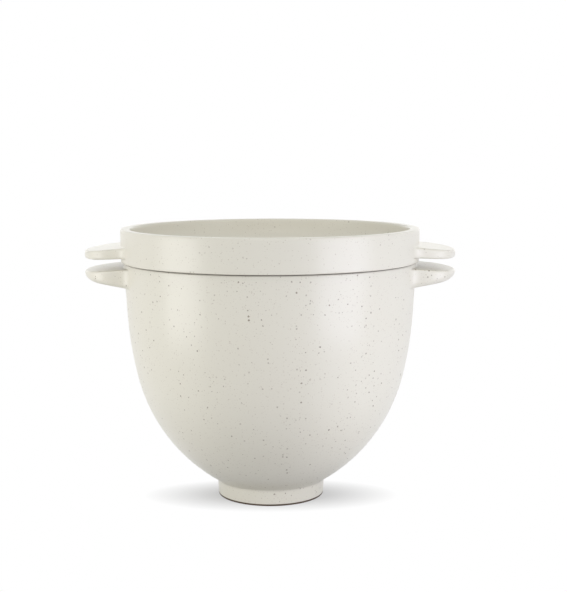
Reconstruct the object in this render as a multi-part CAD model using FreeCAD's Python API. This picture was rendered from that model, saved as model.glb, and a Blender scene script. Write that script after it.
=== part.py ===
import FreeCAD, Part
import math
import os

# A glazed stoneware bowl for a tilt-head stand mixer, and the shallow baking dish that lies on it as its lid.
# Lengths are in millimetres and angles in degrees. +Z is up and the handles point along X.
# The origin is the middle of the foot, on the surface that the bowl stands on.

# Bowl body, outside
rim_height = 189.0          # rim above the surface that the bowl stands on
rim_radius = 115.6          # outside of the rim
upper_draft = 3.1           # lean of the straight upper wall from upright
shoulder_radius = 301.0     # long, slow curve under the straight wall
shoulder_drop = 52.0        # height of that curve
belly_radius = 136.5        # rounder curve from there down to the foot

# Bowl body, inside
bowl_wall = 7.0
bowl_floor = 8.0            # clay between the inside and the socket
rim_outer_round = 1.2
rim_inner_round = 2.8

# Foot ring
foot_height = 13.0          # from the standing face to the crease under the belly
foot_radius = 42.3          # where it stands
foot_top_radius = 43.0      # where it meets the belly
foot_crease_round = 1.6     # glaze pooled between foot and belly
foot_edge_round = 0.9       # outer and inner edges of the bare ring

# Twist-lock socket inside the foot ring
socket_radius = 36.4
socket_depth = 9.5
socket_corner_round = 3.0
lug_count = 4
lug_reach = 3.2             # how far a lug stands in from the socket wall
lug_height = 3.6            # at the wall
lug_nose = 1.0              # radius of its rounded nose
lug_start = 2.0             # its low end above the standing face
lug_ramp = 1.4              # rise from its low end to its high end
lug_span = 34.0             # angle that it covers
lug_lead = 0.22             # share of the span over which it grows out of the wall at each end
lug_offset = 45.0           # angle of the first lug from the handles
lug_root = 1.0              # how far it is rooted in the wall

# Lid
lid_overhang = 2.4          # how far its upper edge stands out past the bowl's rim
lid_height = 26.4           # from the seat on the bowl rim to the upper edge
lid_draft = 0.6             # lean of its outer wall from upright
lid_wall = 7.4
lid_floor = 7.0
lid_inner_draft = 3.0       # lean of its inner wall
lid_outer_round = 1.8
lid_inner_round = 2.8
lid_seat_round = 1.4        # lower outer edge, above the seam
lid_corner_round = 12.0     # between floor and wall inside

# Locating ring under the lid, which drops into the bowl mouth
ring_clearance = 1.4
ring_depth = 4.0
ring_width = 7.0
ring_round = 1.4

# Plan of the four handles
handle_length = 31.0        # tip past the bowl's rim
handle_half_width = 39.0
handle_bow = 68.0           # slow curve across the tip
handle_corner = 19.0
handle_flare = 6.0          # hollow where its sides run into the wall
handle_sink = 2.0           # how far that hollow runs into the wall

# Bowl handles: heights below the rim, at the wall and at the tip
bowl_handle_top = (3.9, 6.2)
bowl_handle_under = (17.6, 12.0)
bowl_handle_top_round = 1.2
bowl_handle_under_round = 3.4
bowl_handle_root_round = 2.4

# Lid handles: heights above the seat, at the wall and at the tip
lid_handle_top = (12.4, 9.6)
lid_handle_under = (4.4, 3.2)
lid_handle_top_round = 1.2
lid_handle_under_round = 1.6
lid_handle_root_round = 2.4

# Sizes that follow: the lid is a little wider than the rim, and both pairs of handles end at one reach
lid_radius = rim_radius + lid_overhang
handle_reach = rim_radius + handle_length

UP = FreeCAD.Vector(0, 0, 1)
ORIGIN = FreeCAD.Vector(0, 0, 0)
TOUCH = 1e-3                # points nearer than this are taken as one


# Curves and turned solids

def at(r, z):
    return FreeCAD.Vector(r, 0, z)


def line(start, end):
    return Part.LineSegment(start, end).toShape()


def arc(centre, radius, start, end):
    """An arc in the XZ plane. Its angles are measured from +X towards +Z."""
    points = []
    for angle in (start, (start + end) / 2, end):
        turn = math.radians(angle)
        points.append(centre + at(radius * math.cos(turn), radius * math.sin(turn)))
    return Part.Arc(*points).toShape()


def turned(edges):
    """A full turn of a closed outline, with its seam at the back, clear of the handles."""
    solid = Part.Face(Part.Wire(edges)).revolve(ORIGIN, UP, 360)
    solid.rotate(ORIGIN, UP, 90)
    return solid


def rounded_ring(solid, r, z, radius):
    """Rounds the circular edge of a turned solid that lies nearest to radius r and height z."""
    def distance(edge):
        box = edge.BoundBox
        return math.hypot(box.XMax - r, box.ZMax - z) + box.ZLength
    circles = [edge for edge in solid.Edges if edge.BoundBox.ZLength < TOUCH]
    return solid.makeFillet(radius, [min(circles, key=distance)])


# Side curves of the bowl

def bowl_curves(inset):
    """Upper point, shoulder centre, belly centre and the angle where they meet, inset from the outside.

    The straight wall takes the height that the curves and the foot leave. So both curves start at the rim
    and slide down the leaning wall, until the belly runs through the crease above the foot.
    """
    lean = math.radians(upper_draft)
    turn = math.asin(math.sin(lean) + shoulder_drop / shoulder_radius)
    shoulder_centre = at(rim_radius, rim_height) - at(math.cos(lean), -math.sin(lean)) * shoulder_radius
    belly_centre = shoulder_centre + at(math.cos(turn), -math.sin(turn)) * (shoulder_radius - belly_radius)
    down_wall = at(-math.tan(lean), -1)
    to_crease = at(foot_top_radius, foot_height) - belly_centre
    scale = down_wall.dot(down_wall)
    level = to_crease.dot(down_wall)
    outside = to_crease.dot(to_crease) - belly_radius ** 2
    straight_wall = (level - math.sqrt(level ** 2 - scale * outside)) / scale
    slide = down_wall * straight_wall
    top = at(rim_radius - inset / math.cos(lean), rim_height)
    return top, shoulder_centre + slide, belly_centre + slide, math.degrees(turn)


def side_edges(top, shoulder_centre, belly_centre, turn, inset, end_turn):
    """Straight wall, shoulder and belly as edges from the rim down to the angle end_turn."""
    shoulder = arc(shoulder_centre, shoulder_radius - inset, -upper_draft, -turn)
    belly = arc(belly_centre, belly_radius - inset, -turn, -end_turn)
    return [line(top, shoulder.valueAt(shoulder.FirstParameter)), shoulder, belly]


def edge_end(edge):
    return edge.valueAt(edge.LastParameter)


def bowl_outside():
    """The bowl as a filled solid, foot included, with a flat top at the rim."""
    top, shoulder_centre, belly_centre, turn = bowl_curves(0)
    end_turn = math.degrees(math.acos((foot_top_radius - belly_centre.x) / belly_radius))
    side = side_edges(top, shoulder_centre, belly_centre, turn, 0, end_turn)
    crease = edge_end(side[-1])
    foot_corner = at(foot_radius, 0)
    closing = [line(crease, foot_corner), line(foot_corner, ORIGIN),
               line(ORIGIN, at(0, rim_height)), line(at(0, rim_height), top)]
    body = turned(side + closing)
    return rounded_ring(body, crease.x, crease.z, foot_crease_round)


def bowl_inside():
    """The space inside the bowl, closed at the bottom by one arc about the axis, tangent to the belly."""
    top, shoulder_centre, belly_centre, turn = bowl_curves(bowl_wall)
    reach = belly_radius - bowl_wall
    floor_height = socket_depth + bowl_floor
    rise = belly_centre.z - floor_height
    base_radius = (belly_centre.x ** 2 + rise ** 2 - reach ** 2) / (2 * (rise - reach))
    base_centre = at(0, floor_height + base_radius)
    end_turn = math.degrees(math.atan2(belly_centre.z - base_centre.z, -belly_centre.x))
    side = side_edges(top, shoulder_centre, belly_centre, turn, bowl_wall, end_turn)
    base = arc(base_centre, base_radius, -end_turn, -90)
    return turned(side + [base, line(edge_end(base), at(0, rim_height)), line(at(0, rim_height), top)])


# Handles

def handle_plan(wall_radius):
    """Outline of one handle seen from above, from inside the wall round the tip and back."""
    flare_y = handle_half_width + handle_flare
    flare_x = math.sqrt((wall_radius + handle_flare - handle_sink) ** 2 - flare_y ** 2)
    flare_turn = math.atan2(flare_x, flare_y)
    bow_x = handle_reach - handle_bow
    corner_y = handle_half_width - handle_corner
    corner_x = bow_x + math.sqrt((handle_bow - handle_corner) ** 2 - corner_y ** 2)
    corner_turn = math.atan2(corner_y, corner_x - bow_x)
    corner_mid = (corner_turn + math.pi / 2) / 2
    inner_x = flare_x - handle_flare - bowl_wall / 2

    def flat(x, y):
        return FreeCAD.Vector(x, y, 0)

    def on_flare(turn, sign):
        return flat(flare_x - handle_flare * math.sin(turn), sign * (flare_y - handle_flare * math.cos(turn)))

    def half(sign):
        root = on_flare(flare_turn, sign)
        hollow = on_flare(flare_turn / 2, sign)
        straight_start = flat(flare_x, sign * handle_half_width)
        straight_end = flat(corner_x, sign * handle_half_width)
        corner = flat(corner_x + handle_corner * math.cos(corner_mid),
                      sign * (corner_y + handle_corner * math.sin(corner_mid)))
        tip_end = flat(bow_x + handle_bow * math.cos(corner_turn),
                       sign * handle_bow * math.sin(corner_turn))
        edges = [line(flat(inner_x, root.y), root),
                 Part.Arc(root, hollow, straight_start).toShape(),
                 line(straight_start, straight_end),
                 Part.Arc(straight_end, corner, tip_end).toShape()]
        return edges, tip_end, flat(inner_x, root.y)

    left, left_tip, left_end = half(1)
    right, right_tip, right_end = half(-1)
    tip = Part.Arc(left_tip, flat(handle_reach, 0), right_tip).toShape()
    return Part.Wire(left + [tip] + right[::-1] + [line(right_end, left_end)]), inner_x


def handle(wall_radius, top, under, top_round, under_round):
    """One handle towards +X. top and under are heights at the wall and at the tip."""
    plan, inner_x = handle_plan(wall_radius)
    run = handle_reach - wall_radius
    outer_x = handle_reach + handle_flare

    def height(ends, x):
        return ends[0] + (ends[1] - ends[0]) * (x - wall_radius) / run

    corners = [at(inner_x, height(under, inner_x)), at(outer_x, height(under, outer_x)),
               at(outer_x, height(top, outer_x)), at(inner_x, height(top, inner_x))]
    width = 2 * (handle_half_width + handle_flare) + 2
    side = Part.Face(Part.makePolygon(corners + corners[:1]))
    side.translate(FreeCAD.Vector(0, -width / 2, 0))
    wedge = side.extrude(FreeCAD.Vector(0, width, 0))
    column = Part.Face(plan).extrude(UP * 2 * rim_height)
    blank = wedge.common(column)

    def outline_of(solid, ends):
        """Edges of the upper or lower face, without the one inside the wall."""
        edges = [e for e in solid.Edges if all(abs(v.Z - height(ends, v.X)) < TOUCH for v in e.Vertexes)]
        return [e for e in edges if e.BoundBox.XMax > inner_x + TOUCH]

    blank = blank.makeFillet(top_round, outline_of(blank, top))
    return blank.makeFillet(under_round, outline_of(blank, under))


def lies_on(edge, solid):
    """True where both ends and the middle of an edge lie on a solid's skin."""
    first, last = edge.FirstParameter, edge.LastParameter
    points = [Part.Vertex(edge.valueAt(p)) for p in (first, (first + last) / 2, last)]
    return all(solid.Shells[0].distToShape(point)[0] < TOUCH for point in points)


def with_handles(body, blank, root_round):
    """Joins a handle and its twin on the far side to a turned body, and rounds the joints."""
    far = blank.copy()
    far.rotate(ORIGIN, UP, 180)
    joined = body.fuse([blank, far])
    on_body = [edge for edge in joined.Edges if lies_on(edge, body)]
    roots = [edge for edge in on_body if lies_on(edge, blank) or lies_on(edge, far)]
    return joined.makeFillet(root_round, roots)


# Twist-lock socket

def lug():
    """One ramped lug, lofted along the socket wall out of the wall and back into it."""
    sections = []
    for share in (0, lug_lead / 2, lug_lead, 0.5, 1 - lug_lead, 1 - lug_lead / 2, 1):
        grow = min(1.0, share / lug_lead, (1 - share) / lug_lead)
        reach = lug_reach * math.sin(grow * math.pi / 2) - lug_root * (1 - grow) / 2
        base = lug_start + lug_ramp * share
        nose_r = socket_radius - reach + lug_nose
        nose_z = base + lug_height / 2
        low = at(socket_radius + lug_root, base)
        high = at(socket_radius + lug_root, base + lug_height)
        under = at(nose_r, nose_z - lug_nose)
        over = at(nose_r, nose_z + lug_nose)
        nose = Part.Arc(under, at(nose_r - lug_nose, nose_z), over).toShape()
        wire = Part.Wire([line(high, low), line(low, under), nose, line(over, high)])
        wire.rotate(ORIGIN, UP, lug_span * (share - 0.5))
        sections.append(wire)
    return Part.makeLoft(sections, True, False)


def lugs():
    ring = []
    for turn in range(lug_count):
        one = lug()
        one.rotate(ORIGIN, UP, lug_offset + turn * 360 / lug_count)
        ring.append(one)
    return ring


def mixing_bowl():
    top = [rim_height - drop for drop in bowl_handle_top]
    under = [rim_height - drop for drop in bowl_handle_under]
    blank = handle(rim_radius, top, under, bowl_handle_top_round, bowl_handle_under_round)
    body = with_handles(bowl_outside(), blank, bowl_handle_root_round)
    body = body.cut(bowl_inside())
    body = rounded_ring(body, rim_radius, rim_height, rim_outer_round)
    body = rounded_ring(body, bowl_curves(bowl_wall)[0].x, rim_height, rim_inner_round)
    socket = Part.makeCylinder(socket_radius, socket_depth)
    socket = rounded_ring(socket, socket_radius, socket_depth, socket_corner_round)
    body = body.cut(socket)
    body = rounded_ring(body, foot_radius, 0, foot_edge_round)
    body = rounded_ring(body, socket_radius, 0, foot_edge_round)
    return body.fuse(lugs()).removeSplitter()


# Lid

def lid_body():
    """The dish as a turned solid, with the locating ring under it."""
    outer_slope = math.tan(math.radians(lid_draft))
    inner_slope = math.tan(math.radians(lid_inner_draft))
    seat = rim_height
    brim = rim_height + lid_height
    floor_top = seat + lid_floor
    inner_top = lid_radius - lid_wall
    inner_foot = inner_top - (lid_height - lid_floor) * inner_slope
    seat_radius = lid_radius - lid_height * outer_slope
    ring_radius = rim_radius - bowl_wall - ring_clearance
    ring_inner = ring_radius - ring_width
    ring_foot = seat - ring_depth
    points = [at(0, seat), at(ring_inner, seat), at(ring_inner, ring_foot), at(ring_radius, ring_foot),
              at(ring_radius, seat), at(seat_radius, seat), at(lid_radius, brim), at(inner_top, brim),
              at(inner_foot, floor_top), at(0, floor_top)]
    body = turned([line(a, b) for a, b in zip(points, points[1:] + points[:1])])
    for index, radius in ((2, ring_round), (3, ring_round), (5, lid_seat_round), (8, lid_corner_round)):
        body = rounded_ring(body, points[index].x, points[index].z, radius)
    return body, points[6], points[7]


def baking_lid():
    body, outer_edge, inner_edge = lid_body()
    top = [rim_height + rise for rise in lid_handle_top]
    under = [rim_height + rise for rise in lid_handle_under]
    blank = handle(lid_radius, top, under, lid_handle_top_round, lid_handle_under_round)
    keep_out = Part.makeCylinder(lid_radius - lid_wall, 2 * rim_height)
    body = with_handles(body, blank.cut(keep_out), lid_handle_root_round)
    body = rounded_ring(body, outer_edge.x, outer_edge.z, lid_outer_round)
    return rounded_ring(body, inner_edge.x, inner_edge.z, lid_inner_round).removeSplitter()


os.makedirs("parts", exist_ok=True)
for name, solid in (("mixing_bowl", mixing_bowl()), ("baking_lid", baking_lid())):
    solid.exportStep("parts/" + name + ".step")
    box = solid.BoundBox
    print(name, "solids", len(solid.Solids), "valid", solid.isValid(), "millilitres", round(solid.Volume / 1000, 1))
    print("  x", round(box.XMin, 2), round(box.XMax, 2), "z", round(box.ZMin, 2), round(box.ZMax, 2))
print("brimful millilitres", round(bowl_inside().Volume / 1000, 1))
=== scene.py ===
# %% [markdown]
# # A stoneware mixing bowl under its baking lid
#
# The real set is two pieces of cast stoneware: a deep bowl for a stand mixer and a shallow dish that lies on
# its rim as a lid. Both have a pair of tab handles and the same satin cream glaze with brown specks.
# The CAD model gives exact sizes. Here each piece is modelled again as one soft, closed skin, because
# glaze runs over every edge and melts the handles into the wall, and CAD edges look too crisp for that.

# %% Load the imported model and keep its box
import math
import bmesh
import bpy
from mathutils import Matrix, Vector


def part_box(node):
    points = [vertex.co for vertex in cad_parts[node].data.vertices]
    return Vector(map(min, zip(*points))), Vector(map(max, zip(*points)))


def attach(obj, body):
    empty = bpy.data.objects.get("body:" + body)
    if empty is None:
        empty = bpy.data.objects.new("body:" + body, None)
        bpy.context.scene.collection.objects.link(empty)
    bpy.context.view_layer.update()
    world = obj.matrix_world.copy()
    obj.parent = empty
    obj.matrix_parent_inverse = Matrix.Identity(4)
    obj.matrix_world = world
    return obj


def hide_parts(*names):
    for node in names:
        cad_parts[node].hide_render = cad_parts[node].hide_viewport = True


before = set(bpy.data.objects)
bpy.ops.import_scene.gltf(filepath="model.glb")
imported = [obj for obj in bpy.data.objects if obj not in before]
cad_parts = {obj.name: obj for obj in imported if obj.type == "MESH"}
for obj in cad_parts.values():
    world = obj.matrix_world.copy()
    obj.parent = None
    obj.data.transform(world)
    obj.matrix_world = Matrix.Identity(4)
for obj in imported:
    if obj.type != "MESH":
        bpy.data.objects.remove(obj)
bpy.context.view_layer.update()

MM = 0.001
ML = 0.000001
bowl_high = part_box("mixing_bowl")[1]
lid_low, lid_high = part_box("baking_lid")
rim_height = bowl_high[2]
handle_reach = bowl_high[0]
brim_height = lid_high[2]
print("rim", rim_height, "handles reach", handle_reach, "lid's upper edge", brim_height)

# %% [markdown]
# ## The camera
#
# A product photograph is usually taken with a long lens from a little above, so that upright sides stay
# upright. The place, tilt and lens below were worked out from the circles in the photograph: a circle that
# is seen from the side becomes a flat oval, and how flat it is tells how high the camera stands.

# %% Place the camera
camera_place = Vector((10.54, -959.6, 279.1)) * MM
camera_tilt = math.radians(7.059)
camera_roll = -0.0024
camera_lens = 73.59
sensor_width = 36.0

bpy.ops.object.select_all(action="DESELECT")
bpy.ops.object.camera_add()
camera = bpy.context.object
camera.name = "photo_view"
camera.data.lens = camera_lens
camera.data.sensor_width = sensor_width
look = Matrix.Rotation(math.pi / 2 - camera_tilt, 4, "X") @ Matrix.Rotation(camera_roll, 4, "Z")
camera.matrix_world = Matrix.Translation(camera_place) @ look
bpy.context.scene.camera = camera
print("camera distance", round(camera_place.length, 3))

# %% [markdown]
# ## Drawing an outline
#
# A turned pot is an outline that goes once round its axis. The outline could be a Bezier curve with a Screw
# modifier. Points on exact arcs are used instead, since the photograph's curves were measured as arcs, and
# each point becomes a row of faces, so rows can be put where a handle has to start.

# %% Points of arcs, runs and rounded corners
def at(r, z):
    """A point of an outline, at radius r from the axis and height z."""
    return Vector((r, 0.0, z))


def arc(centre, radius, start, end, count):
    """Points along an arc, without its first. Angles are in radians, from outwards towards up."""
    angles = [start + (end - start) * step / count for step in range(1, count + 1)]
    return [centre + at(math.cos(angle), math.sin(angle)) * radius for angle in angles]


def run(start, end, count):
    """Points along a straight run, without its first."""
    return [start.lerp(end, step / count) for step in range(1, count + 1)]


def round_corner(before, corner, after, radius, count=3):
    """Points of the arc that rounds the corner between two runs, with both its ends."""
    back = (before - corner).normalized()
    onward = (after - corner).normalized()
    half = back.angle(onward) / 2
    centre = corner + (back + onward).normalized() * (radius / math.sin(half))
    reach = radius / math.tan(half)
    first = (corner + back * reach - centre).normalized()
    last = (corner + onward * reach - centre).normalized()
    return [centre + first.slerp(last, step / count) * radius for step in range(count + 1)]


# %% [markdown]
# ## Turning a closed body
#
# On a potter's wheel the wall is pulled up while the clay turns. In Blender one point is extruded along the
# outline, and Spin carries that line once round. The outline starts and ends on the axis, so the body is
# closed. Spin leaves many points on the axis, and merging them by distance closes both poles.

# %% Spin an outline into a body
columns = 144
column_angle = 2 * math.pi / columns
merge_distance = 0.001 * MM


def measure(piece):
    """Prints how much clay a closed mesh holds, its triangles and any edge that is left open."""
    mesh = bmesh.new()
    mesh.from_mesh(piece.data)
    open_edges = sum(1 for edge in mesh.edges if not edge.is_manifold)
    triangles = sum(len(face.verts) - 2 for face in mesh.faces)
    print(piece.name, "millilitres", round(mesh.calc_volume(signed=True) / ML, 1),
          "triangles", triangles, "open edges", open_edges)
    mesh.free()


def turned_body(name, outline):
    """One closed body with its outline spun about the Z axis."""
    bpy.ops.object.select_all(action="DESELECT")
    bpy.ops.mesh.primitive_plane_add(size=MM)
    piece = bpy.context.object
    piece.name = name
    piece.data.name = name
    bpy.ops.object.mode_set(mode="EDIT")
    bpy.ops.mesh.select_mode(type="VERT")
    bpy.ops.mesh.select_all(action="SELECT")
    bpy.ops.mesh.merge(type="CENTER")
    bpy.ops.transform.translate(value=outline[0])
    for start, end in zip(outline, outline[1:]):
        bpy.ops.mesh.extrude_vertices_move(TRANSFORM_OT_translate={"value": end - start})
    bpy.ops.mesh.select_all(action="SELECT")
    bpy.ops.mesh.spin(steps=columns, angle=2 * math.pi, center=(0, 0, 0), axis=(0, 0, 1))
    bpy.ops.mesh.select_all(action="SELECT")
    bpy.ops.mesh.remove_doubles(threshold=merge_distance)
    bpy.ops.mesh.normals_make_consistent(inside=False)
    bpy.ops.object.mode_set(mode="OBJECT")
    measure(piece)
    return piece


# %% [markdown]
# ## The bowl's outline
#
# From the rim down the wall is nearly straight, then a long slow shoulder, then a rounder belly that runs
# into a low foot. The inside follows the outside at the wall's thickness and closes with one round base,
# so that a beater can reach everything. Under the foot is a round socket for the mixer's clamping plate.
# Molten glaze pools in the crease above the foot, so the skin is rounder there than the clay under it.

# %% Bowl sizes
rim_radius = 115.6 * MM
upper_lean = math.radians(3.1)
shoulder_radius = 301.0 * MM
shoulder_drop = 52.0 * MM
belly_radius = 136.5 * MM
bowl_wall = 7.0 * MM
bowl_floor = 8.0 * MM
rim_outer_round = 1.2 * MM
rim_inner_round = 2.8 * MM

foot_height = 13.0 * MM
foot_radius = 42.3 * MM
foot_top_radius = 43.0 * MM
foot_crease_round = 3.2 * MM
foot_edge_round = 0.9 * MM

socket_radius = 36.4 * MM
socket_depth = 9.5 * MM
socket_corner_round = 3.0 * MM

belly_turn = math.asin(math.sin(upper_lean) + shoulder_drop / shoulder_radius)


def curve_centres():
    """Centres of the shoulder and the belly: both slide down the wall until the belly meets the foot."""
    rim = at(rim_radius, rim_height)
    shoulder = rim - at(math.cos(upper_lean), -math.sin(upper_lean)) * shoulder_radius
    belly = shoulder + at(math.cos(belly_turn), -math.sin(belly_turn)) * (shoulder_radius - belly_radius)
    down_wall = at(-math.tan(upper_lean), -1)
    to_crease = at(foot_top_radius, foot_height) - belly
    scale = down_wall.dot(down_wall)
    level = to_crease.dot(down_wall)
    outside = to_crease.dot(to_crease) - belly_radius ** 2
    slide = down_wall * (level - math.sqrt(level ** 2 - scale * outside)) / scale
    return shoulder + slide, belly + slide


shoulder_centre, belly_centre = curve_centres()
print("shoulder centre", shoulder_centre, "belly centre", belly_centre)

# %% [markdown]
# ## Where the handles start
#
# A handle is pulled out of a patch of the wall, so the wall needs a row of faces at the handle's upper side,
# one at its underside and a few between them. The same five faces, top to bottom, later become the rounded
# upper edge, the upright tip and the rounded lower edge.

# %% Handle heights, at the wall and at the tip, and the rounds of the upper and lower edge
root_shares = (0.0, 0.13, 0.34, 0.6, 0.84, 1.0)
bowl_handle = {"wall": rim_radius,
               "top": (rim_height - 3.9 * MM, rim_height - 6.2 * MM),
               "under": (rim_height - 17.6 * MM, rim_height - 12.0 * MM),
               "rounds": (1.2 * MM, 3.4 * MM)}


def root_heights(handle):
    """Heights of the rows where a handle leaves the wall, from its upper side down."""
    return [handle["top"][0] + (handle["under"][0] - handle["top"][0]) * share for share in root_shares]


def bowl_wall_radius(z):
    """Radius of the bowl's straight upper wall at height z."""
    return rim_radius - (rim_height - z) * math.tan(upper_lean)


print("bowl handle rows", [round(z / MM, 1) for z in root_heights(bowl_handle)])


# %% The bowl's outline, from its inside over the rim and down to the socket
def inside_outline():
    """From the middle of the inside up to the start of the rim."""
    reach = belly_radius - bowl_wall
    floor_height = socket_depth + bowl_floor
    rise = belly_centre.z - floor_height
    base_radius = (belly_centre.x ** 2 + rise ** 2 - reach ** 2) / (2 * (rise - reach))
    base_centre = at(0, floor_height + base_radius)
    base_turn = math.atan2(belly_centre.z - base_centre.z, -belly_centre.x)
    points = [at(0, floor_height)] + arc(base_centre, base_radius, -math.pi / 2, -base_turn, count=9)
    points += arc(belly_centre, reach, -base_turn, -belly_turn, count=18)
    return points + arc(shoulder_centre, shoulder_radius - bowl_wall, -belly_turn, -upper_lean, count=9)


def outside_outline():
    """From under the handles down to the crease above the foot, without the crease itself."""
    shoulder_start = shoulder_centre + at(math.cos(upper_lean), -math.sin(upper_lean)) * shoulder_radius
    rows = [at(bowl_wall_radius(z), z) for z in root_heights(bowl_handle)]
    points = rows + run(rows[-1], shoulder_start, count=5)
    points += arc(shoulder_centre, shoulder_radius, -upper_lean, -belly_turn, count=11)
    crease_turn = math.acos((foot_top_radius - belly_centre.x) / belly_radius)
    return points + arc(belly_centre, belly_radius, -belly_turn, -crease_turn, count=24)[:-1]


def foot_outline(before):
    """From the crease over the foot ring into the socket. before is the outline's last point."""
    crease = at(foot_top_radius, foot_height)
    outer = at(foot_radius, 0)
    inner = at(socket_radius, 0)
    ceiling = at(socket_radius, socket_depth)
    middle = at(0, socket_depth)
    points = round_corner(before, crease, outer, foot_crease_round)
    edge = round_corner(crease, outer, inner, foot_edge_round)
    points += run(points[-1], edge[0], count=4) + edge[1:] + [at((foot_radius + socket_radius) / 2, 0)]
    points += round_corner(outer, inner, ceiling, foot_edge_round)
    points += [at(socket_radius, z) for z in lug_rows]
    points += round_corner(inner, ceiling, middle, socket_corner_round, count=5)[1:]
    return points + run(points[-1], middle, count=5)


lug_rows = (2.7 * MM, 4.5 * MM, 6.3 * MM)
rim_outside = at(rim_radius, rim_height)
rim_inside = at(rim_radius - bowl_wall / math.cos(upper_lean), rim_height)
inside = inside_outline()
outside = outside_outline()
inner_lip = round_corner(inside[-1], rim_inside, rim_outside, rim_inner_round)
outer_lip = round_corner(rim_inside, rim_outside, outside[0], rim_outer_round)
bowl_outline = inside + run(inside[-1], inner_lip[0], count=6) + inner_lip[1:] + outer_lip + outside
bowl_outline += foot_outline(outside[-1])
bowl = turned_body("bowl_glazed", bowl_outline)

# %% [markdown]
# ## The lid's outline
#
# The lid is a dish with a flat floor and a nearly upright wall. A low ring under its floor drops into the
# bowl's mouth, so that the lid can't slide off. All its corners are rounded, as glaze leaves them: a sharp
# edge would shed the glaze and chip. Subdividing widens a round a little, so the rounds of the upper edge are
# drawn smaller than in the CAD model, which keeps the thin line of light on the rim.

# %% Lid sizes
seat = rim_height
lid_radius = rim_radius + 2.4 * MM
lid_lean = math.radians(0.6)
lid_wall = 7.4 * MM
lid_floor = 7.0 * MM
lid_inner_lean = math.radians(3.0)
lid_outer_round = 1.2 * MM
lid_inner_round = 1.6 * MM
lid_seat_round = 1.4 * MM
lid_corner_round = 12.0 * MM
ring_clearance = 1.4 * MM
ring_width = 7.0 * MM
ring_round = 1.4 * MM
ring_foot = lid_low[2]

lid_handle = {"wall": lid_radius,
              "top": (seat + 12.4 * MM, seat + 9.6 * MM),
              "under": (seat + 4.4 * MM, seat + 3.2 * MM),
              "rounds": (1.2 * MM, 1.6 * MM)}


def lid_wall_radius(z):
    """Radius of the lid's outer wall at height z."""
    return lid_radius - (brim_height - z) * math.tan(lid_lean)


# %% The lid's outline, from under its middle round the ring and the wall to the floor
def underside_outline():
    """From the middle of the underside round the locating ring to the seat."""
    outer = rim_radius - bowl_wall - ring_clearance
    inner = outer - ring_width
    corners = [at(0, seat), at(inner, seat), at(inner, ring_foot), at(outer, ring_foot), at(outer, seat)]
    first_round = round_corner(corners[1], corners[2], corners[3], ring_round)
    second_round = round_corner(corners[2], corners[3], corners[4], ring_round)
    return [corners[0]] + run(corners[0], corners[1], count=8) + first_round + second_round + [corners[4]]


def dish_outline():
    """From the seat up the outer wall, over the upper edge and down to the middle of the floor."""
    seat_edge = at(lid_wall_radius(seat), seat)
    outer_edge = at(lid_radius, brim_height)
    inner_edge = at(lid_radius - lid_wall, brim_height)
    floor_height = seat + lid_floor
    inner_foot = inner_edge - at((brim_height - floor_height) * math.tan(lid_inner_lean),
                                 brim_height - floor_height)
    middle = at(0, floor_height)
    rows = [at(lid_wall_radius(z), z) for z in reversed(root_heights(lid_handle))]
    outer_lip = round_corner(seat_edge, outer_edge, inner_edge, lid_outer_round)
    inner_lip = round_corner(outer_edge, inner_edge, inner_foot, lid_inner_round)
    corner = round_corner(inner_edge, inner_foot, middle, lid_corner_round, count=5)
    points = round_corner(at(0, seat), seat_edge, outer_edge, lid_seat_round) + rows
    points += run(rows[-1], outer_lip[0], count=3) + outer_lip[1:] + inner_lip
    points += run(inner_lip[-1], corner[0], count=2) + corner[1:]
    return points + run(corner[-1], middle, count=10)


underside = underside_outline()
dish = dish_outline()
lid_outline = underside + run(underside[-1], dish[0], count=3)[:-1] + dish
lid = turned_body("lid_glazed", lid_outline)

# %% [markdown]
# ## The handles
#
# The real handles were part of the mould, so they have no joint with the wall: their sides flow into it in
# a hollow, and only the corner above is tight. Joining a separate tab with a Boolean would leave a hard
# line and a messy mesh. So a patch of the wall is extruded outwards in rings. Each ring is then laid
# on the handle's plan, which is a hollow, a straight side, a rounded corner and a slow bow across the tip.

# %% The plan of a handle
half_width = 39.0 * MM
tip_bow = 68.0 * MM
plan_corner = 19.0 * MM
root_columns = 9
root_angle = root_columns * column_angle
ring_shares = (0.08, 0.2, 0.34, 0.6, 0.82, 1.0)
formed_share = ring_shares[2]

bow_x = handle_reach - tip_bow
corner_y = half_width - plan_corner
corner_x = bow_x + math.sqrt((tip_bow - plan_corner) ** 2 - corner_y ** 2)
corner_start = math.atan2(corner_y, corner_x - bow_x)
corner_half = (math.pi / 2 - corner_start) / 2


def flat(length, angle):
    """A step in the plan, seen from above."""
    return Vector((length * math.cos(angle), length * math.sin(angle)))


def side_point(share, inset, wall):
    """A point on the side of a handle: 0 is on the wall, and 1 is the middle of the rounded corner."""
    turn = math.pi / 2 - root_angle
    tangent = (wall * math.sin(root_angle) - half_width) / math.cos(root_angle)
    hollow = tangent / math.tan(turn / 2)
    hollow_x = wall * math.cos(root_angle) + tangent * math.sin(root_angle) + tangent
    lengths = (hollow * turn, corner_x - hollow_x, plan_corner * corner_half)
    way = share * sum(lengths)
    if way < lengths[0]:
        centre = Vector((hollow_x, half_width + hollow))
        return centre - flat(hollow + inset, math.pi / 2 - turn * (1 - way / lengths[0]))
    way -= lengths[0]
    if way < lengths[1]:
        return Vector((hollow_x + way, half_width - inset))
    angle = math.pi / 2 - (way - lengths[1]) / plan_corner
    return Vector((corner_x, corner_y)) + flat(plan_corner - inset, angle)


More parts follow.
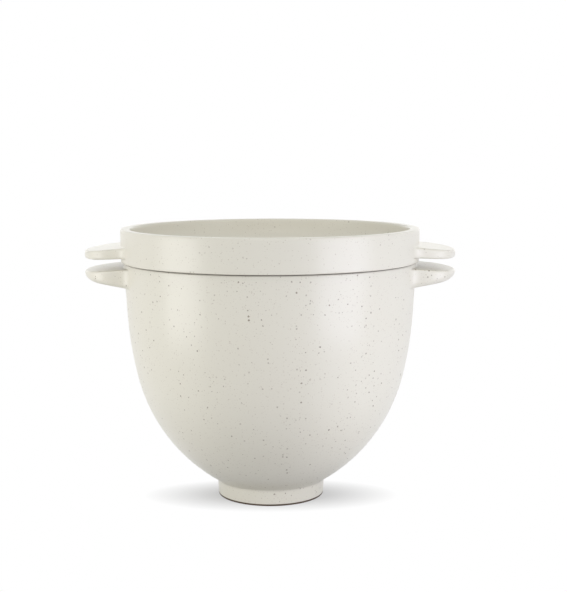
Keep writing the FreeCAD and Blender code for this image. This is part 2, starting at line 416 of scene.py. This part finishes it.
def tip_point(across, inset):
    """A point on the tip. across runs from -1 to 1, between the middles of the two rounded corners."""
    way = abs(across) * (tip_bow * corner_start + plan_corner * corner_half)
    if way < tip_bow * corner_start:
        point = Vector((bow_x, 0)) + flat(tip_bow - inset, way / tip_bow)
    else:
        angle = corner_start + (way - tip_bow * corner_start) / plan_corner
        point = Vector((corner_x, corner_y)) + flat(plan_corner - inset, angle)
    return Vector((point.x, math.copysign(point.y, across)))


print("tip", tip_point(0, 0), "corner", tip_point(1, 0), "side meets it", side_point(1, 0, rim_radius))


# %% Lay a ring of points on the plan
def plan_point(across, out, inset, wall):
    """A point between the wall, the two sides and the tip, blended from all four."""
    left, right = (1 - across) / 2, (1 + across) / 2
    side = side_point(out, inset, wall)
    other_side = Vector((side.x, -side.y))
    near, far = flat(wall, root_angle * across), tip_point(across, inset)
    near_ends = flat(wall, -root_angle) * left + flat(wall, root_angle) * right
    far_ends = tip_point(-1, inset) * left + tip_point(1, inset) * right
    return (near * (1 - out) + far * out + side * right + other_side * left
            - near_ends * (1 - out) - far_ends * out)


def edge_profile(row, height, rounds):
    """(share of the height, inset) of one row of the tip, whose edges are rounded by two radii."""
    upper, lower = rounds
    start = 1 - math.sqrt(0.5)
    profile = ((0, upper), (start * upper / height, start * upper), (upper / height, 0),
               (1 - lower / height, 0), (1 - start * lower / height, start * lower), (1, lower))
    return profile[row]


def handle_point(handle, wall_radius, column, row, out):
    """Where one point of a handle lies. out is 0 at the wall and 1 at the tip."""
    across = column / root_columns

    def heights(x):
        share = (x - handle["wall"]) / (handle_reach - handle["wall"])
        return [near + (far - near) * share for near, far in (handle["top"], handle["under"])]

    wall = wall_radius(root_heights(handle)[row])
    formed = min(1.0, out / formed_share)
    top, under = heights(plan_point(across, out, 0, wall).x)
    share, inset = edge_profile(row, top - under, handle["rounds"])
    place = plan_point(across, out, inset * formed, wall)
    top, under = heights(place.x)
    z = top + (under - top) * (root_shares[row] + (share - root_shares[row]) * formed)
    if out == 0:
        place = flat(wall_radius(z), root_angle * across)
    return Vector((place.x, place.y, z))


# %% [markdown]
# ## Pulling both handles out at once
#
# In edit mode the patch of faces at each side is selected by its place. Every point keeps its column and
# its row as two whole numbers on the mesh. Extrude copies those numbers to the new points, so after each
# extrusion a point still knows where on the handle it belongs.

# %% Select faces and place their points
def edit_selected(piece, wanted):
    """Opens a piece in edit mode with the faces selected that a test of their middle accepts."""
    bpy.ops.object.select_all(action="DESELECT")
    piece.select_set(True)
    bpy.context.view_layer.objects.active = piece
    bpy.ops.object.mode_set(mode="EDIT")
    bpy.ops.mesh.select_mode(type="FACE")
    bpy.ops.mesh.select_all(action="DESELECT")
    mesh = bmesh.from_edit_mesh(piece.data)
    for face in mesh.faces:
        face.select_set(wanted(face.calc_center_median()))
    bmesh.update_edit_mesh(piece.data)


def lay_points(piece, place):
    """Moves each selected point to where place puts it, from its mesh position, column and row."""
    mesh = bmesh.from_edit_mesh(piece.data)
    column = mesh.verts.layers.int["column"]
    row = mesh.verts.layers.int["row"]
    for point in mesh.verts:
        if point.select:
            point.co = place(point.co.copy(), point[column], point[row])
    bmesh.update_edit_mesh(piece.data)


def number_points(piece, number):
    """Writes a column and a row on each selected point, as number works them out from its place."""
    mesh = bmesh.from_edit_mesh(piece.data)
    column = mesh.verts.layers.int.new("column")
    row = mesh.verts.layers.int.new("row")
    for point in mesh.verts:
        if point.select:
            point[column], point[row] = number(point.co)
    bmesh.update_edit_mesh(piece.data)


def forget_numbers(piece):
    """Back to object mode, without the two helper layers."""
    bpy.ops.object.mode_set(mode="OBJECT")
    for name in ("column", "row"):
        piece.data.attributes.remove(piece.data.attributes[name])


def nearest(values, value):
    """The place in a list of the number that is nearest to a value."""
    return min(range(len(values)), key=lambda index: abs(values[index] - value))


# %% Extrude the patches ring by ring
wall_margin = 2 * MM


def pull_handles(piece, handle, wall_radius):
    """Both handles of a piece, towards +X and -X."""
    rows = root_heights(handle)

    def on_patch(middle):
        angle = abs(math.atan2(middle.y, abs(middle.x)))
        outer = math.hypot(middle.x, middle.y) > wall_radius(middle.z) - wall_margin
        return angle < root_angle and rows[-1] < middle.z < rows[0] and outer

    def number(point):
        side = math.copysign(1, point.x)
        return round(math.atan2(side * point.y, side * point.x) / column_angle), nearest(rows, point.z)

    def ring(out):
        def place(point, column, row):
            side = math.copysign(1, point.x)
            there = handle_point(handle, wall_radius, column, row, out)
            return Vector((side * there.x, side * there.y, there.z))
        return place

    edit_selected(piece, on_patch)
    number_points(piece, number)
    lay_points(piece, ring(0))
    for out in ring_shares:
        bpy.ops.mesh.extrude_region_move()
        lay_points(piece, ring(out))
    forget_numbers(piece)
    measure(piece)


pull_handles(bowl, bowl_handle, bowl_wall_radius)
pull_handles(lid, lid_handle, lid_wall_radius)

# %% [markdown]
# ## The twist-lock lugs
#
# Four ramped lugs stand in from the wall of the socket. When the bowl is turned on the mixer, they slide
# under the rim of the clamping plate and pull the bowl down tight. They could be four separate wedges, but
# in the real bowl they are the same clay as the foot, so they are extruded from the socket's own wall.

# %% Extrude the lugs from the socket wall
lug_count = 4
lug_columns = 14
lug_offset = math.radians(45.0)
lug_reach = 3.2 * MM
lug_half_heights = (1.8 * MM, 1.0 * MM)
lug_ramp = 1.4 * MM
lug_lead_columns = 3
lug_end_stand = 0.3
lug_shares = (0.55, 1.0)
socket_margin = 0.5 * MM


def lug_column(point):
    """Which column of its lug a point lies in, counted from the middle of the lug."""
    spacing = 2 * math.pi / lug_count
    angle = (math.atan2(point.y, point.x) - lug_offset + spacing / 2) % spacing - spacing / 2
    return angle / column_angle


def on_lug(middle):
    """Whether a face with this middle lies where a lug leaves the socket's wall."""
    near_wall = abs(math.hypot(middle.x, middle.y) - socket_radius) < socket_margin
    return near_wall and lug_rows[0] < middle.z < lug_rows[-1] and abs(lug_column(middle)) < lug_columns / 2


def lug_ring(out, half_height):
    """Places one ring of the lugs: out is the share of their reach."""
    def place(point, column, row):
        lead = min(1.0, (lug_columns / 2 - abs(column) + lug_end_stand) / lug_lead_columns)
        radius = socket_radius - lug_reach * out * math.sin(lead * math.pi / 2)
        angle = math.atan2(point.y, point.x)
        z = lug_rows[1] + lug_ramp * column / lug_columns + half_height * (row - 1)
        return Vector((radius * math.cos(angle), radius * math.sin(angle), z))
    return place


edit_selected(bowl, on_lug)
number_points(bowl, lambda point: (round(lug_column(point)), nearest(lug_rows, point.z)))
lay_points(bowl, lug_ring(0, lug_half_heights[0]))
for share, half_height in zip(lug_shares, lug_half_heights):
    bpy.ops.mesh.extrude_region_move()
    lay_points(bowl, lug_ring(share, half_height))
forget_numbers(bowl)
measure(bowl)


# %% [markdown]
# ## Smoothing the skins
#
# One level of Subdivision Surface rounds every edge by the distance of the rows beside it, as glaze does.
# More levels would only add triangles: the rows are already close enough for a smooth silhouette.

# %% Subdivide and shade smooth
def smooth_skin(piece):
    """One level of subdivision, applied, and smooth shading."""
    bpy.ops.object.select_all(action="DESELECT")
    piece.select_set(True)
    bpy.context.view_layer.objects.active = piece
    bpy.ops.object.modifier_add(type="SUBSURF")
    modifier = piece.modifiers[-1]
    modifier.levels = 1
    modifier.render_levels = 1
    bpy.ops.object.modifier_apply(modifier=modifier.name)
    bpy.ops.object.shade_smooth()
    measure(piece)


for skin, node in ((bowl, "mixing_bowl"), (lid, "baking_lid")):
    smooth_skin(skin)
    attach(skin, "root")
    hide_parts(node)


# %% [markdown]
# ## Shader maths that reads like Python
#
# A finish is a small network of nodes. Written as node calls, a sum of three masks is a dozen lines. The
# class below wraps one output of a node, so that plus, minus and times add the Math nodes themselves.

# %% A wrapper for shader sockets
class Signal:
    """One output socket. Python's + - * on it add Math nodes, and node() adds any other node."""

    def __init__(self, tree, socket=None):
        self.tree = tree
        self.socket = socket

    def node(self, kind, settings, sockets, output=0):
        """A node of one kind, with its settings made first and then its sockets filled or linked."""
        made = self.tree.nodes.new(kind)
        for name, value in settings.items():
            setattr(made, name, value)
        for name, value in sockets.items():
            if isinstance(value, Signal):
                self.tree.links.new(value.socket, made.inputs[name])
            else:
                made.inputs[name].default_value = value
        return Signal(self.tree, made.outputs[output] if made.outputs else None)

    def maths(self, operation, first, second):
        return self.node("ShaderNodeMath", {"operation": operation}, {0: first, 1: second})

    def __add__(self, other):
        return self.maths("ADD", self, other)

    def __radd__(self, other):
        return self.maths("ADD", other, self)

    def __sub__(self, other):
        return self.maths("SUBTRACT", self, other)

    def __rsub__(self, other):
        return self.maths("SUBTRACT", other, self)

    def __mul__(self, other):
        return self.maths("MULTIPLY", self, other)

    def __rmul__(self, other):
        return self.maths("MULTIPLY", other, self)


def new_material(name):
    """An empty material, as a Signal that starts its node tree."""
    material = bpy.data.materials.new(name)
    material.use_nodes = True
    material.node_tree.nodes.clear()
    return material, Signal(material.node_tree)


# %% [markdown]
# ## The speckled glaze
#
# The specks are bits of iron in the clay that melt through the glaze. They are dots of many sizes, in loose
# groups, not an even sprinkle. A Voronoi texture gives each cell of space one point, and a ball of random
# size round it. Where the skin cuts the ball there is a dot, so no dot is stretched on the curved wall. A
# slow noise makes some areas richer in dots, and a quick one bends the space a little, so that no dot is a
# perfect disc. Each dot has its own strength too: the deeper a bit of iron lies, the more glaze hides it.
# The lid's specks are fewer and paler than the bowl's.
#
# The glaze is wiped off where the foot stands and where the lid sits, or the pieces would stick in the kiln.
# The bare clay shows there as two thin dark lines, drawn far darker than the clay itself: they are partly
# bare clay and partly painted shade, the contact shadow under the foot and the shadow in the gap under the
# lid's overhanging edge.

# %% Glaze colours, and where the clay is bare and shade is painted
cream = (0.80, 0.775, 0.675, 1.0)
warm_cream = (0.775, 0.735, 0.63, 1.0)
iron_brown = (0.20, 0.14, 0.085, 1.0)
pale_iron = (0.42, 0.35, 0.27, 1.0)
# This dark colour is bare clay and painted shade at once: the contact shadow under the foot and the shadow in
# the seam under the lid.
bare_clay_and_painted_shade = (0.08, 0.05, 0.03, 1.0)
# Height of the dark band at the foot: the bare ring together with the painted contact shadow at the floor.
bare_foot_and_contact_shadow = 1.8 * MM
# Heights of the dark band at the seat: bare clay together with the painted shadow in the gap under the lid's
# edge.
bare_seat_and_seam_shadow = (seat - 0.4 * MM, seat + 0.6 * MM)
wiped_edge = 0.3 * MM


# %% Masks: a blend, a stretched range and soft noise
def blend(factor, first, second):
    """A colour between two, by a mask."""
    return factor.node("ShaderNodeMix", {"data_type": "RGBA"}, {0: factor, 6: first, 7: second}, 2)


def between(value, low, high, to_low=0.0, to_high=1.0):
    """A value stretched from one range to another, held at both ends."""
    sockets = {"Value": value, "From Min": low, "From Max": high, "To Min": to_low, "To Max": to_high}
    return value.node("ShaderNodeMapRange", {"clamp": True}, sockets)


def noise(place, scale, detail=2.0, output=0):
    """Soft noise with about scale bumps to the metre."""
    return place.node("ShaderNodeTexNoise", {}, {"Vector": place, "Scale": scale, "Detail": detail}, output)


# %% Dots in space
smallest_dot = 0.35
palest_dot = 0.3
kept_edge = 0.05


def dots(place, cell, radius, soft, kept):
    """A mask of dots: one in each cell of space, smaller and paler by chance, and fewer where kept is low."""
    settings = {"feature": "F1", "distance": "EUCLIDEAN"}
    sockets = {"Vector": place, "Scale": 1 / cell, "Randomness": 1.0}
    distance = place.node("ShaderNodeTexVoronoi", settings, sockets, "Distance")
    chance = place.node("ShaderNodeTexVoronoi", settings, sockets, "Color")
    chances = [place.node("ShaderNodeSeparateColor", {}, {"Color": chance}, channel) for channel in range(3)]
    size = between(chances[0], 0.0, 1.0, smallest_dot * radius / cell, radius / cell)
    strength = between(chances[1], 0.0, 1.0, palest_dot, 1.0)
    stays = between(kept - chances[2], 0.0, kept_edge)
    return between(size - distance, 0.0, soft / cell) * strength * stays


# %% Place the iron specks
wobble_scale = 900.0
wobble_reach = 0.8 * MM
crowd_scale = 30.0
crowd_range = (0.38, 0.64)
lid_pales = 0.5

glaze, start = new_material("speckled_glaze")
smooth_place = start.node("ShaderNodeTexCoord", {}, {}, "Object")
wobble = noise(smooth_place, wobble_scale, 1.0, "Color")
wobble_step = start.node("ShaderNodeVectorMath", {"operation": "SCALE"}, {0: wobble, "Scale": wobble_reach})
speck_place = start.node("ShaderNodeVectorMath", {"operation": "ADD"}, {0: smooth_place, 1: wobble_step})
height = start.node("ShaderNodeSeparateXYZ", {}, {"Vector": smooth_place}, "Z")
on_lid = between(height, seat - 1 * MM, seat)
crowding = between(noise(smooth_place, crowd_scale), *crowd_range)


def kept_share(least, in_crowds, off_lid):
    """The share of cells that keep their dot: more where the specks crowd, and fewer on the lid."""
    return least + in_crowds * crowding - off_lid * on_lid


large_kept = kept_share(least=0.3, in_crowds=0.75, off_lid=0.35)
large_dots = dots(speck_place, cell=3.4 * MM, radius=0.85 * MM, soft=0.3 * MM, kept=large_kept)
large_dots = large_dots * (1 - lid_pales * on_lid)
fine_kept = kept_share(least=0.7, in_crowds=0.5, off_lid=0.4)
fine_dots = dots(speck_place, cell=1.6 * MM, radius=0.55 * MM, soft=0.25 * MM, kept=fine_kept)
print("material nodes for the specks", len(glaze.node_tree.nodes))

# %% Where the glaze is wiped off and where shade is painted
# The foot's dark band paints the contact shadow at the floor along with the bare ring.
foot_clay_and_contact_shadow = between(height, bare_foot_and_contact_shadow, bare_foot_and_contact_shadow - wiped_edge)
# The seat's dark band paints the shadow under the lid's overhanging edge along with the bare clay.
above_seat = between(height, bare_seat_and_seam_shadow[0], bare_seat_and_seam_shadow[0] + wiped_edge)
seat_clay_and_seam_shadow = above_seat * between(height, bare_seat_and_seam_shadow[1], bare_seat_and_seam_shadow[1] - wiped_edge)
# Where the dark colour of bare clay and painted shade shows, at the foot and at the seat.
clay_and_shade_mask = between(foot_clay_and_contact_shadow + seat_clay_and_seam_shadow, 0.0, 1.0)

# %% The glaze's colour
cloud_scale = 14.0
cloud_range = (0.3, 0.7)
cloud_share = 0.3
fine_share = 0.5
large_share = 0.85

cloudy = between(noise(smooth_place, cloud_scale, 1.0), *cloud_range)
colour = blend(cloudy * cloud_share, cream, warm_cream)
colour = blend(fine_dots * fine_share, colour, pale_iron)
colour = blend(large_dots * large_share, colour, iron_brown)
# Bare clay with painted shade: the contact shadow at the foot and the shadow in the seam.
colour = blend(clay_and_shade_mask, colour, bare_clay_and_painted_shade)

# %% The glaze's gloss and relief
glaze_roughness = 0.28
cloud_adds = 0.02
speck_adds = 0.12
clay_adds = 0.45
pinhole_scale = 420.0
pinhole_height = 0.12
pool_scale = 24.0
pool_height = 1.6
speck_dip = 0.5

roughness = glaze_roughness + cloud_adds * cloudy + speck_adds * large_dots + clay_adds * clay_and_shade_mask
pinholes = pinhole_height * noise(smooth_place, pinhole_scale, 1.0)
relief = pinholes + pool_height * noise(smooth_place, pool_scale, 1.0) - speck_dip * large_dots

# %% Build the glaze
glaze_ior = 1.5
relief_depth = 0.12 * MM
relief_strength = 0.5

bump = start.node("ShaderNodeBump", {},
                  {"Strength": relief_strength, "Distance": relief_depth, "Height": relief})
surface = start.node("ShaderNodeBsdfPrincipled", {},
                     {"Base Color": colour, "Roughness": roughness, "Normal": bump, "IOR": glaze_ior})
start.node("ShaderNodeOutputMaterial", {}, {"Surface": surface})

for skin in (bowl, lid):
    skin.data.materials.clear()
    skin.data.materials.append(glaze)
print("glaze nodes", len(glaze.node_tree.nodes))

# %% [markdown]
# ## The floor
#
# A white paper sweep looks pure white in a product photograph, but still takes the object's soft shadow.
# Lighting it until it burns out would flatten the object too. So the floor is matt, and what the camera
# sees of it is mixed with plain white: about half in an oval round the foot, so that the shadow stays, and
# nothing but white further out. The light that it throws back at the bowl is still that of a matt floor.

# %% Which rays see plain white
pure_white = (1.0, 1.0, 1.0, 1.0)


def seen_by_eye(start):
    """1 for a ray from the camera, off gloss or through glass, and 0 for one that only carries light."""
    rays = [start.node("ShaderNodeLightPath", {}, {}, name)
            for name in ("Is Camera Ray", "Is Glossy Ray", "Is Transmission Ray")]
    return between(rays[0] + rays[1] + rays[2], 0.0, 1.0)


# %% Make the floor
floor_size = 6.0
paper_grey = (0.43, 0.43, 0.43, 1.0)
oval_shift = (0.0, 9.5 * MM, 0.0)
oval_stretch = (10.0, 21.5, 0.0)
oval_edges = (0.45, 1.02)
least_white = 0.47

bpy.ops.object.select_all(action="DESELECT")
bpy.ops.mesh.primitive_plane_add(size=floor_size)
floor = bpy.context.object
floor.name = "paper_sweep"
paper, start = new_material("paper_sweep")
floor_place = start.node("ShaderNodeTexCoord", {}, {}, "Object")
centred = start.node("ShaderNodeVectorMath", {"operation": "ADD"}, {0: floor_place, 1: oval_shift})
oval = start.node("ShaderNodeVectorMath", {"operation": "MULTIPLY"}, {0: centred, 1: oval_stretch})
away = start.node("ShaderNodeVectorMath", {"operation": "LENGTH"}, {0: oval}, "Value")
white_share = between(away, *oval_edges, least_white, 1.0)
matt = start.node("ShaderNodeBsdfDiffuse", {}, {"Color": paper_grey})
white = start.node("ShaderNodeEmission", {}, {"Color": pure_white, "Strength": 1.0})
surface = start.node("ShaderNodeMixShader", {}, {0: seen_by_eye(start) * white_share, 1: matt, 2: white})
start.node("ShaderNodeOutputMaterial", {}, {"Surface": surface})
floor.data.materials.append(paper)
print("floor", floor_size, "metres wide")

# %% [markdown]
# ## Studio light
#
# The highlights on a round pot show where its lights stood. The photograph has an upright band on each side,
# the right one broader and brighter, that runs from the lid down to the belly. The wall leans inwards and
# the camera looks down at it, so a band that low can only mirror a lamp that stands on the table. So there
# is a low softbox near each front corner, with a weak one high in front. The tops of the handles and of the
# rim mirror what is behind them, so a wide, weak light lies low at the back. The belly leans so far inwards
# that it mirrors the table, so a dim glowing card lies there on each side. The room is darker behind than
# in front, or the sides of the bowl would glow as brightly as the white backdrop and lose their edge.

# %% The world
front_strength = 0.77
back_strength = 0.48
turn_to_back = (-0.15, 0.25)

world = bpy.data.worlds.new("studio")
world.use_nodes = True
world.node_tree.nodes.clear()
bpy.context.scene.world = world
start = Signal(world.node_tree)
direction = start.node("ShaderNodeTexCoord", {}, {}, "Generated")
depth = start.node("ShaderNodeSeparateXYZ", {}, {"Vector": direction}, "Y")
behind = between(depth, *turn_to_back)
front_room = start.node("ShaderNodeBackground", {}, {"Color": pure_white, "Strength": front_strength})
back_room = start.node("ShaderNodeBackground", {}, {"Color": pure_white, "Strength": back_strength})
room = start.node("ShaderNodeMixShader", {}, {0: behind, 1: front_room, 2: back_room})
backdrop = start.node("ShaderNodeBackground", {}, {"Color": pure_white, "Strength": 1.0})
surface = start.node("ShaderNodeMixShader", {}, {0: seen_by_eye(start), 1: room, 2: backdrop})
start.node("ShaderNodeOutputWorld", {}, {"Surface": surface})
print("world nodes", len(world.node_tree.nodes))

# %% A softbox
plain_white = (1.0, 1.0, 1.0)
cool_white = (0.83, 0.84, 1.0)


def soft_light(name, bearing, reach, height, aim, size, radiance, tint=plain_white):
    """A rectangle of light that faces a point. Its bearing, in degrees, turns from the front towards +X."""
    angle = math.radians(bearing)
    place = Vector((reach * math.sin(angle), -reach * math.cos(angle), height))
    bpy.ops.object.select_all(action="DESELECT")
    bpy.ops.object.light_add(type="AREA", location=place)
    light = bpy.context.object
    light.name = name
    light.data.shape = "RECTANGLE"
    light.data.size, light.data.size_y = size
    light.data.energy = math.pi * radiance * size[0] * size[1]
    light.data.color = tint
    light.visible_camera = False
    light.rotation_euler = (aim - place).to_track_quat("-Z", "Y").to_euler()
    print(name, "watts", round(light.data.energy, 2))


# %% Place the lights
bowl_middle = Vector((0.0, 0.0, rim_height / 2))
box_middle = Vector((0.0, 0.0, 0.13))
above_bowl = Vector((0.0, 0.0, 0.3))

soft_light("right_softbox", bearing=51.5, reach=0.5, height=0.13, aim=box_middle,
           size=(0.33, 0.26), radiance=3.3, tint=cool_white)
soft_light("left_softbox", bearing=-63.0, reach=0.5, height=0.13, aim=box_middle,
           size=(0.27, 0.26), radiance=2.95)
soft_light("front_fill", bearing=0.0, reach=1.39, height=0.9, aim=bowl_middle,
           size=(0.8, 0.8), radiance=0.55)
soft_light("back_glow", bearing=180.0, reach=1.6, height=0.36, aim=bowl_middle,
           size=(2.2, 0.42), radiance=0.7)
soft_light("right_card", bearing=50.0, reach=0.18, height=0.035, aim=above_bowl,
           size=(0.14, 0.12), radiance=0.26)
soft_light("left_card", bearing=-52.0, reach=0.18, height=0.035, aim=above_bowl,
           size=(0.06, 0.12), radiance=0.26)

# %% [markdown]
# ## Finish
#
# The view transform is set to Standard, so that a colour renders as it is written.

# %% Finish
bpy.context.scene.view_settings.view_transform = "Standard"
